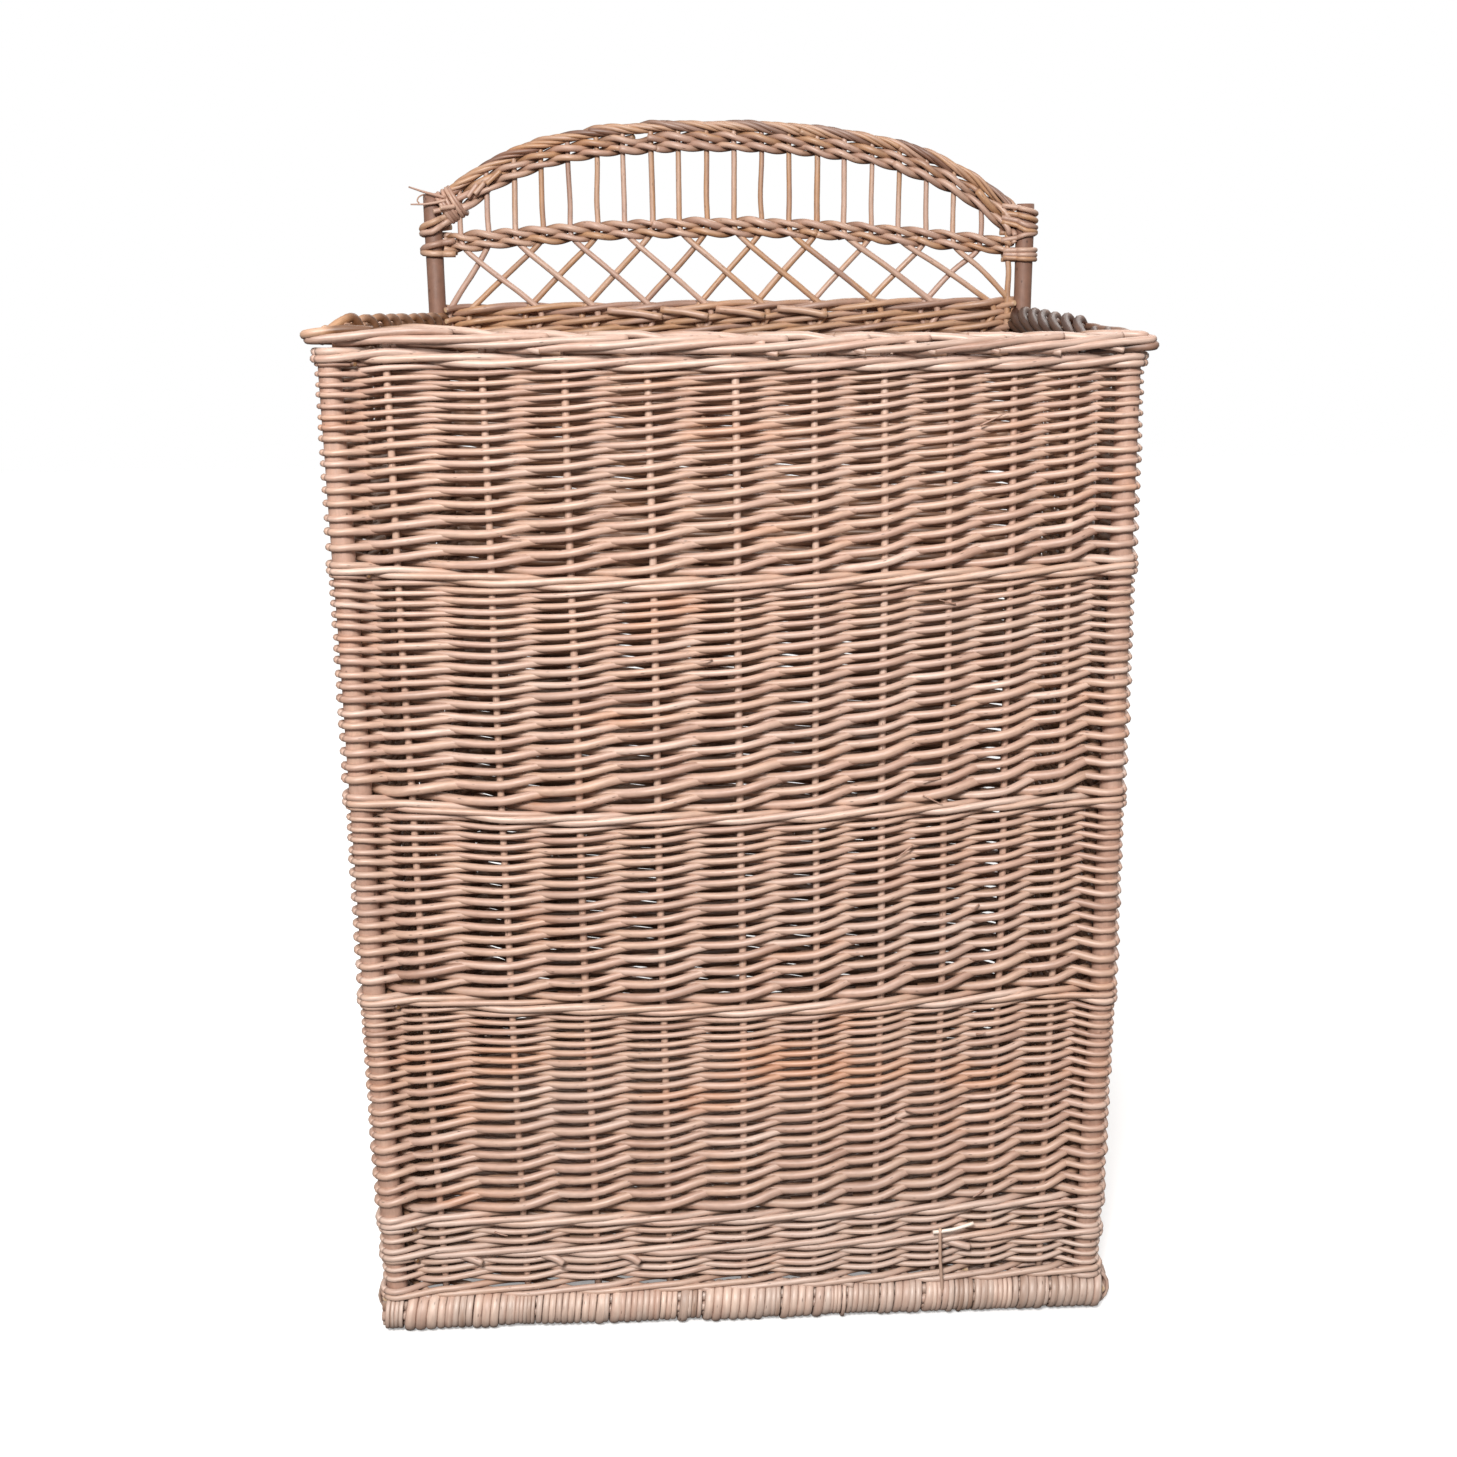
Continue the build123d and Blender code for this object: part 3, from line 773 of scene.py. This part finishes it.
def gallery_rods():
    """The crossing rods. Each leaves a rear stake, leans over to its place, and stands up to the arch.
    Returns their places along the gallery."""
    places, rim = [], top("gallery_lower_bands")
    for node, layer in (("gallery_rods_leaning_left", -1), ("gallery_rods_leaning_right", 1)):
        points = np.array([(v.co.x, v.co.z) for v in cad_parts[node].data.vertices])
        base = bottom(node)
        tops = clusters(points[points[:, 1] > BAND(points[:, 0]) + 0.01, 0])
        feet = clusters(points[points[:, 1] < base + 0.006, 0])
        rods = Rods(10)
        for i, x in enumerate(tops):
            foot = feet[min(i, len(feet) - 1)]
            lean, band, arch = x - foot, BAND(x), ARCH(x)
            sway = rng.normal(0, 0.8 * MM, 3)
            knots = [
                (foot, 0.0005 * layer, base - 0.004),
                (foot - 0.12 * lean, 0.001 * layer, rim - 0.009),
                (foot + 0.12 * lean, 0.0018 * layer, rim + 0.12 * (band - rim)),
                (foot + 0.55 * lean + sway[0], 0.0023 * layer, rim + 0.52 * (band - rim)),
                (foot + 0.93 * lean, 0.0016 * layer, band - 0.007),
                (x, 0.0004 * layer, band + 0.002),
                (x + sway[1] / 2, 0, band + 0.3 * (arch - band)),
                (x + sway[2] / 2, 0, band + 0.65 * (arch - band)),
                (x + sway[2] / 4, 0, arch - 0.006),
            ]
            path = smooth_path(knots, 5) + AT_REAR
            taper = np.linspace(1.1, 0.9, len(path)) * rng.uniform(0.92, 1.08)
            rods.add(path, ROD_RADIUS * taper * (1 + rng.normal(0, 0.015, len(path))))
        rods.build(node.replace("gallery_rods", "openwork_rods"), GALLERY, [node], "gallery_willow")
        places += tops
    return sorted(places)


def twisted_row(rods, x, line, above, strands, radius, wide, tall, split, paired=0.0):
    """Rods that twist round each other along a row and pass in front of and behind its uprights.

    x gives the places along the row at each upright, where one of the strands is always in front. The
    row keeps a distance above a line, which is a polynomial. wide and tall are the twist's half sizes,
    front to back and up and down, split is how often a new rod takes over, and paired sets two thin
    rods that far apart, as an angle, in each strand.
    """
    s = np.arange(0, (len(x) - 1) * 10 + 1) / 10
    px = np.interp(s, np.arange(len(x)), x)
    slope = line.deriv()(px)
    slant = np.sqrt(1 + slope**2)
    height = line(px) + above * slant
    for strand in range(strands):
        own = radius * rng.uniform(0.92, 1.08)
        tint = rng.uniform()
        loose = 1 + np.interp(s, np.arange(len(x)), rng.normal(0, 0.22, len(x)))
        for apart in (-paired, paired) if paired else (0.0,):
            turn = 2 * np.pi * (s - strand) / strands + apart
            front, rise = -wide * np.cos(turn), -tall * loose * np.sin(turn)
            wander = 0.3 * MM * np.sin(s * 0.9 + rng.uniform(0, 6))
            path = np.stack([px - slope / slant * rise, REAR_Y + front + wander, height + rise / slant], -1)
            cuts = [0] + [i for i in range(12, len(s) - 12) if rng.uniform() < split / 10] + [len(s) - 1]
            for a, b in zip(cuts, cuts[1:]):
                if b - a > 5:
                    swell = np.interp(s[a : b + 1], np.arange(len(x)), rng.normal(1, 0.1, len(x)))
                    widths = own * swell * np.linspace(1.08, 0.92, b - a + 1)
                    rods.add(path[a : b + 1], widths, tint + rng.normal(0, 0.1))


def post_wrap(rods, side, heights, radius, inner=0.018):
    """A rod end that comes along the gallery, passes in front of a rear post, and goes round behind it.

    side is -1 at the left post. heights are at the gallery, in front of the post, beside it and behind
    it, in millimetres. inner is how far from the post's middle the rod starts and ends."""
    heights = np.array(heights) * MM
    x0, reach = side * POST_X, POST_RADIUS + radius * 0.9
    angles = np.radians([38, 60, 90, 125, 160, 180, 205, 240, 270, 300, 322])
    z = np.interp(angles, np.radians([0, 90, 180, 270]), heights)
    arc = np.stack([x0 - side * reach * np.cos(angles), REAR_Y - reach * np.sin(angles), z], -1)
    start = [(x0 - side * inner, REAR_Y - 0.0042, heights[0])]
    finish = [(x0 - side * inner, REAR_Y + 0.0045, heights[3] + (heights[3] - heights[2]) * 0.5)]
    path = smooth_path(np.concatenate([start, arc, finish]), 3)
    rods.add(path, radius * rng.uniform(0.93, 1.07) * (1 + rng.normal(0, 0.02, len(path))))


def short_rod(rods, start, finish, radius, tint=None, sag=0.0, tip=1.0):
    """A loose end or a stub between two places, bent a little downwards by sag. It narrows to tip, a part
    of its radius. The places lie as far in front of or behind the gallery's middle as their y says."""
    start, finish = np.array(start), np.array(finish)
    middle = (start + finish) / 2 - np.array([0, 0, sag])
    path = smooth_path([start, middle, finish], 5) + AT_REAR
    rods.add(path, radius * np.linspace(1, tip, len(path)), tint)


def gallery():
    """The openwork back: its lattice, its twisted bands, the arch, and what ties them to the posts."""
    places = gallery_rods()
    inner = POST_X - POST_RADIUS - 0.001
    x = np.array([-inner] + places + [inner])
    lower = {wall.name: Rods() for wall in WALLS}
    z0, z1 = bottom("gallery_lower_bands"), top("gallery_lower_bands")
    for z in (z0 + 0.0012, z0 + 0.0100, z1 - 0.0046):
        wale(lower, z, 0.0027, proud=0.2 * MM, first=FIRST["rear"], gaps=FIRST["left"] - FIRST["rear"])
    rods = lower["rear"]
    for start, length in ((-0.104, 0.046), (-0.059, 0.040), (-0.012, 0.041), (0.040, 0.042)):
        finish = (start + length, -0.0115, z1 - 0.0125)
        short_rod(rods, (start, -0.0065, z1 - 0.0065), finish, 0.0030, 0.97, -0.001)
    # The arch willow's dark tones here are partly the bands' own and partly painted shade on their inner
    # side.
    rods.build("gallery_lower_rods", ARCH_WILLOW, ["gallery_lower_bands"], "gallery_willow")

    rods = Rods(face=GALLERY_BACK)
    for above in (0.0038, -0.0038):
        twisted_row(rods, x, BAND, above, 2, 0.0026, 0.0046, 0.0021, 0.08)
    rods.build("gallery_middle_rods", GALLERY, ["gallery_middle_band"], "gallery_willow")

    rods = Rods(face=GALLERY_BACK)
    for above in (-0.0134, -0.0208):
        twisted_row(rods, x, ARCH, above, 2, 0.0025, 0.0046, 0.0021, 0.08)
    for x0, z0, x1, z1 in ARCH_STUBS:
        short_rod(rods, (x0, -0.006, z0), (x1, -0.009, z1), 0.0020)
    rods.build("gallery_arch_rods", GALLERY, ["gallery_arch_bands"], "gallery_willow")

    rods = Rods(face=GALLERY_BACK)
    twisted_row(rods, x, ARCH, -0.0048, 3, 0.00195, 0.0040, 0.0029, 0.15, 0.42)
    rods.build("gallery_border_rods", ARCH_WILLOW, ["gallery_arch_border"], "gallery_willow")

    rods = Rods()
    for heights in ((766, 762.7, 759, 761), (755.3, 755.7, 757, 757)):
        post_wrap(rods, -1, heights, 0.0026)
    for heights in ((752.5, 752.5, 752.5, 753), (749, 748.6, 748.3, 749), (746.5, 745.2, 744.8, 745)):
        post_wrap(rods, 1, heights, 0.0022)
    rods.build("gallery_band_wraps", GALLERY, ["gallery_post_wraps"], "gallery_willow")

    rods = Rods()
    for heights in RIGHT_TIES:
        post_wrap(rods, 1, heights, 0.0021, 0.020)
    rods.build("gallery_wraps_right", GALLERY, ["gallery_lashing_right"], "gallery_willow")

    rods = Rods()
    for heights in ((787, 780.6, 775.5, 777), (782.5, 773.4, 772, 771)):
        post_wrap(rods, -1, heights, 0.0026, 0.014)
    lashing(rods)
    rods.build("gallery_lashing_rods", GALLERY, ["gallery_lashing_left"], "gallery_willow")


def lashing(rods):
    """The thin rod wound round the left end of the arch, with its loose ends."""
    lean = math.radians(28)
    along = np.array([math.cos(lean), 0, math.sin(lean)])
    across = np.array([-math.sin(lean), 0, math.cos(lean)])
    turn = np.linspace(0, 2 * np.pi * 4.6, 100)[:, None]
    shift = np.linspace(-0.0076, 0.0076, 100)[:, None] + 0.6 * MM * np.sin(turn * 0.7)
    path = np.array([-0.2335, 0, 0.7955]) + AT_REAR + shift * along + 0.0128 * np.cos(turn) * across
    rods.add(path - 0.0088 * np.sin(turn) * np.array([0, 1, 0]), 0.0019)
    for loose_end in LOOSE_ENDS:
        short_rod(rods, *loose_end)
    rods.add(smooth_path(HOOK, 5) + AT_REAR, 0.0006, 0.95)


# ---------------- splinters


def splinters():
    """Small torn ends that stand out of the weave, and a broken rod near the foot."""
    rods = Rods(6)
    front = WALLS[0]
    for _ in range(26):
        wall = front if rng.uniform() < 0.6 else WALLS[int(rng.integers(1, 4))]
        u, z = rng.uniform(0.04, wall.length - 0.04), rng.uniform(0.06, 0.66)
        angle = rng.choice([0, math.pi]) + rng.normal(0, 0.3)
        length = rng.uniform(0.006, 0.02)
        du, dz = length * math.cos(angle), length * math.sin(angle)
        finish = (u + du, 0.0082 + rng.uniform(0, 0.002), z + dz)
        path = wall.path([(u, 0.0062, z), (u + du / 2, 0.0082, z + dz / 2), finish], 4)
        rods.add(path, np.linspace(0.0009, 0.0003, len(path)) * rng.uniform(0.7, 1.3), 0.05)
    places = [(0.389, 0.0125, 0.072), (0.3895, 0.0135, 0.05), (0.3915, 0.013, 0.028), (0.392, 0.012, 0.018)]
    rods.add(front.path(places, 6), 0.0012, 0.55)
    places = [(0.384, 0.0115, 0.069), (0.398, 0.0125, 0.071), (0.413, 0.0118, 0.0745)]
    rods.add(front.path(places, 6), 0.0014, 1.3)
    rods.build("torn_ends", TORN, [], "weave_willow")


# ---------------- willow


def linear(red, green, blue):
    """A colour given as it looks on a screen, 0 to 255, as Blender's linear colour."""
    return tuple(((c / 255 + 0.055) / 1.055) ** 2.4 for c in (red, green, blue)) + (1,)


class Tree:
    """Builds the nodes of a material or the world.

    Inputs are given by name, or as i and a number, and are a value or another node's output."""

    def __init__(self, owner):
        owner.use_nodes = True
        self.nodes, self.links = owner.node_tree.nodes, owner.node_tree.links

    def add(self, kind, output=0, settings=None, **inputs):
        node = self.nodes.new("ShaderNode" + kind)
        for name, value in (settings or {}).items():
            setattr(node, name, value)
        for name, value in inputs.items():
            socket = node.inputs[int(name[1:]) if name[1:].isdigit() else name]
            if isinstance(value, bpy.types.NodeSocket):
                self.links.new(value, socket)
            else:
                socket.default_value = value
        return node.outputs[output]

    def math(self, operation, a, b=0.0):
        return self.add("Math", 0, {"operation": operation}, i0=a, i1=b)

    def scale(self, vector, by, shift=None):
        scaled = self.add("VectorMath", 0, {"operation": "MULTIPLY"}, i0=vector, i1=by)
        return self.add("VectorMath", 0, {"operation": "ADD"}, i0=scaled, i1=shift) if shift else scaled

    def range(self, value, low, high, to_low=0.0, to_high=1.0):
        return self.add("MapRange", i0=value, i1=low, i2=high, i3=to_low, i4=to_high)

    def noise(self, vector, scale=1.0, detail=3.0, roughness=0.55):
        return self.add("TexNoise", Vector=vector, Scale=scale, Detail=detail, Roughness=roughness)

    def ramp(self, value, stops):
        node = self.nodes.new("ShaderNodeValToRGB")
        elements = node.color_ramp.elements
        for place, colour in stops[2:]:
            elements.new(place)
        for element, (place, colour) in zip(elements, stops):
            element.position, element.color = place, colour
        self.links.new(value, node.inputs["Fac"])
        return node.outputs["Color"]

    def mix(self, factor, a, b, blend="MIX"):
        return self.add("Mix", 2, {"data_type": "RGBA", "blend_type": blend}, i0=factor, i6=a, i7=b)


def willow(name, tones, stain=0.35, age=0.5, roughness=0.5, streak=0.3):
    """Peeled willow: each rod has its own tone, with streaks along it, specks, stains, pale cut ends and
    painted shade.

    tones are its colours from one kind of rod to the next. stain and age are how orange and grey it is.
    """
    material = bpy.data.materials.new(name)
    tree = Tree(material)
    grain = tree.add("Attribute", 1, {"attribute_name": "grain"})
    kind = tree.add("Attribute", 1, {"attribute_name": "kind"})
    apart = tree.nodes.new("ShaderNodeSeparateXYZ")
    tree.links.new(kind, apart.inputs[0])
    tint, own, cut = apart.outputs
    place = tree.add("TexCoord", 3)
    shift = tree.scale(tree.add("CombineXYZ", X=own, Y=own, Z=own), (57.0, 31.0, 43.0))

    slow = tree.noise(tree.scale(grain, (14, 0.35, 0.35), shift), detail=2)
    fine = tree.noise(tree.scale(grain, (45, 3.2, 3.2), shift), detail=4, roughness=0.65)
    mottle = tree.noise(tree.scale(grain, (160, 1.5, 1.5), shift), detail=3)

    steps = np.linspace(0, 1, len(tones))
    blended = tree.math("ADD", tree.math("MULTIPLY", tint, 0.75), tree.range(slow, 0.3, 0.7, -0.12, 0.37))
    colour = tree.ramp(blended, list(zip(steps, tones)))
    colour = tree.mix(tree.range(fine, 0.35, 0.75, 0.0, streak), colour, linear(128, 84, 60))
    bright = tree.range(mottle, 0.3, 0.7, 0.9, 1.12)
    colour = tree.mix(1.0, colour, tree.add("CombineXYZ", X=bright, Y=bright, Z=bright), "MULTIPLY")

    patches = tree.noise(tree.scale(place, (9, 9, 34)), detail=3)
    height = tree.add("SeparateXYZ", 2, i0=place)
    band = tree.range(tree.math("ABSOLUTE", tree.math("SUBTRACT", height, 0.195)), 0.0, 0.05, 0.15, 0.0)
    orange = tree.range(tree.math("ADD", patches, band), 0.60, 0.76, 0.0, stain)
    colour = tree.mix(orange, colour, linear(196, 122, 62))
    dull = tree.noise(tree.scale(place, (5, 5, 11)), detail=2)
    low = tree.range(height, 0.03, 0.13, 0.22, 0.0)
    grey = tree.range(tree.math("ADD", dull, low), 0.48, 0.78, 0.0, age)
    colour = tree.mix(grey, colour, linear(186, 163, 150))

    spots = tree.scale(grain, (75, 0.9, 0.9), shift)
    cells = tree.add("TexVoronoi", 0, {"feature": "F1"}, Vector=spots, Scale=1.0)
    speck = tree.range(cells, 0.06, 0.13, 0.75, 0.0)
    colour = tree.mix(speck, colour, linear(74, 44, 30))
    colour = tree.mix(tree.math("MULTIPLY", cut, 0.8), colour, linear(222, 190, 150))
    # Painted shade: the shade attribute darkens the colour down to 0.3, more in green and blue, inside the
    # weave and at the gallery's back.
    shade = tree.range(tree.add("Attribute", 2, {"attribute_name": "shade"}), 0.0, 1.0, 0.3, 1.0)
    green, blue = tree.math("POWER", shade, 1.27), tree.math("POWER", shade, 1.6)
    colour = tree.mix(1.0, colour, tree.add("CombineXYZ", X=shade, Y=green, Z=blue), "MULTIPLY")

    shader = tree.nodes["Principled BSDF"]
    rough = tree.range(fine, 0.3, 0.7, roughness - 0.08, roughness + 0.1)
    tree.links.new(colour, shader.inputs["Base Color"])
    tree.links.new(rough, shader.inputs["Roughness"])
    shader.inputs["Specular IOR Level"].default_value = 0.85
    ridges = tree.math("ADD", tree.math("MULTIPLY", fine, 0.7), tree.math("MULTIPLY", mottle, 0.3))
    bump = tree.add("Bump", 0, None, Strength=0.35, Distance=0.0005, Height=ridges)
    tree.links.new(bump, shader.inputs["Normal"])
    return material


DUSK, ROSE = linear(164, 128, 110), linear(189, 154, 136)
TAN, PALE = linear(195, 161, 140), linear(211, 183, 167)
HONEY, BARK, CREAM = linear(184, 140, 102), linear(112, 76, 58), linear(224, 196, 178)
BORDER_TONES = (DUSK, linear(182, 153, 137), linear(198, 170, 154), ROSE, linear(190, 163, 148))
FOOT_TONES = (linear(150, 126, 113), CREAM, ROSE, linear(206, 184, 170), linear(150, 118, 98))

WEAVE = willow("woven_willow", (DUSK, ROSE, TAN, ROSE, PALE))
WALE = willow("waled_willow", (ROSE, TAN, PALE, ROSE, PALE), 0.3, 0.4)
STAKE = willow("stake_willow", (ROSE, TAN, PALE), 0.2, 0.3)
BORDER = willow("border_willow", BORDER_TONES, 0.12, 0.12)
GALLERY = willow("gallery_willow", (DUSK, ROSE, TAN, HONEY, DUSK), 0.2, 0.1)
ARCH_WILLOW = willow("arch_willow", (BARK, DUSK, HONEY, ROSE), 0.3, 0.3)
# painted shade: a dark copy of the border willow, for the right side's shaded inner face
PAINTED_SHADE_BORDER = willow("painted_shade_border_willow", (BARK, linear(136, 106, 90), BARK, DUSK), 0.1, 0.0)
# painted shade: dark tones for the rear posts
POST = willow("post_willow", (linear(148, 110, 92), linear(130, 94, 77), BARK), 0.1, 0.1, 0.6, 0.45)
FOOT = willow("foot_willow", FOOT_TONES, 0.25, 0.35)
TORN = willow("torn_willow", (DUSK, DUSK, TAN, PALE, linear(246, 230, 216)), 0.0, 0.0)
BASE = willow("base_willow", (DUSK, ROSE, TAN), 0.2, 0.4)

# ---------------- the hamper

weave_tier(1, 0.5518, 0.6790, 16, 0.00192, 0.58, 0.70)
weave_tier(2, 0.3905, 0.5432, 18, 0.00205, 0.62, 0.80)
weave_tier(3, 0.2505, 0.3815, 15, 0.00212, 0.58, 0.75)
weave_tier(4, 0.0900, 0.2415, 18, 0.00204, 0.60, 0.85, 1.33, 0.73)
for node, middle in (("wale_1", 0.5475), ("wale_2", 0.3860), ("wale_3", 0.2460), ("top_wale", 0.6838)):
    waled_band(node, middle, 0.0023)
upsett()
stakes()
corner_posts()
foot()
base()
border()
gallery()
splinters()

# ---------------- room, lights and camera


def room():
    """A white floor and an even white surround, brighter from above."""
    mesh = bpy.data.meshes.new("floor")
    corners = [(-6, -6, 0), (6, -6, 0), (6, 6, 0), (-6, 6, 0)]
    mesh.from_pydata(corners, [], [(0, 1, 2, 3)])
    floor = bpy.data.objects.new("floor", mesh)
    bpy.context.scene.collection.objects.link(floor)
    material = bpy.data.materials.new("pale_floor")
    inputs = Tree(material).nodes["Principled BSDF"].inputs
    inputs["Base Color"].default_value = (0.86, 0.86, 0.86, 1)
    inputs["Roughness"].default_value = 0.9
    inputs["Specular IOR Level"].default_value = 0.1
    inputs["Emission Color"].default_value = (1, 1, 1, 1)
    inputs["Emission Strength"].default_value = 0.3
    mesh.materials.append(material)
    floor.visible_diffuse = floor.visible_glossy = False
    world = bpy.data.worlds.new("studio")
    tree = Tree(world)
    upwards = tree.add("SeparateXYZ", 2, i0=tree.add("TexCoord", 0))
    strength = tree.range(upwards, -0.3, 0.9, 0.10, 0.80)
    sky = tree.add("Background", Color=(1.0, 0.99, 0.98, 1), Strength=strength)
    seen = tree.add("Background", Color=(1, 1, 1, 1))
    mixed = tree.add("MixShader", i0=tree.add("LightPath"), i1=sky, i2=seen)
    tree.links.new(mixed, tree.nodes["World Output"].inputs[0])
    bpy.context.scene.world = world


def light(name, kind, place, target, **settings):
    """A lamp that points at a target. For a sun only the direction between the two counts."""
    data = bpy.data.lights.new(name, kind)
    for setting, value in settings.items():
        setattr(data, setting, value)
    lamp = bpy.data.objects.new(name, data)
    lamp.location = place
    lamp.rotation_euler = (Vector(target) - Vector(place)).to_track_quat("-Z", "Y").to_euler()
    bpy.context.scene.collection.objects.link(lamp)


def camera():
    data = bpy.data.cameras.new("camera")
    data.sensor_width = 36.0
    data.lens = 42.05
    yaw, pitch, roll = (math.radians(a) for a in (-0.03, 14.535, -0.745))
    forward = Vector((math.sin(yaw) * math.cos(pitch), math.cos(yaw) * math.cos(pitch), -math.sin(pitch)))
    right = Vector((math.cos(yaw), -math.sin(yaw), 0))
    up = right.cross(forward)
    right, up = right * math.cos(roll) + up * math.sin(roll), up * math.cos(roll) - right * math.sin(roll)
    view = Matrix((right, up, -forward)).transposed().to_4x4()
    view.translation = Vector((-0.0053, -1.2933, 0.7253))
    eye = bpy.data.objects.new("camera", data)
    eye.matrix_world = view
    bpy.context.scene.collection.objects.link(eye)
    bpy.context.scene.camera = eye


room()
soft_box = {"shape": "DISK", "size": 0.5, "energy": 56, "color": (1.0, 0.985, 0.97)}
light("key", "AREA", (-0.3, -1.85, 1.6), (0, -0.1, 0.45), **soft_box)
soft_sun = {"energy": 1.0, "angle": math.radians(40), "color": (1.0, 0.98, 0.96)}
light("back_fill", "SUN", (0.323744, 0.694272, 0.642788), (0, 0, 0), **soft_sun)
camera()
bpy.context.scene.view_settings.view_transform = "Standard"
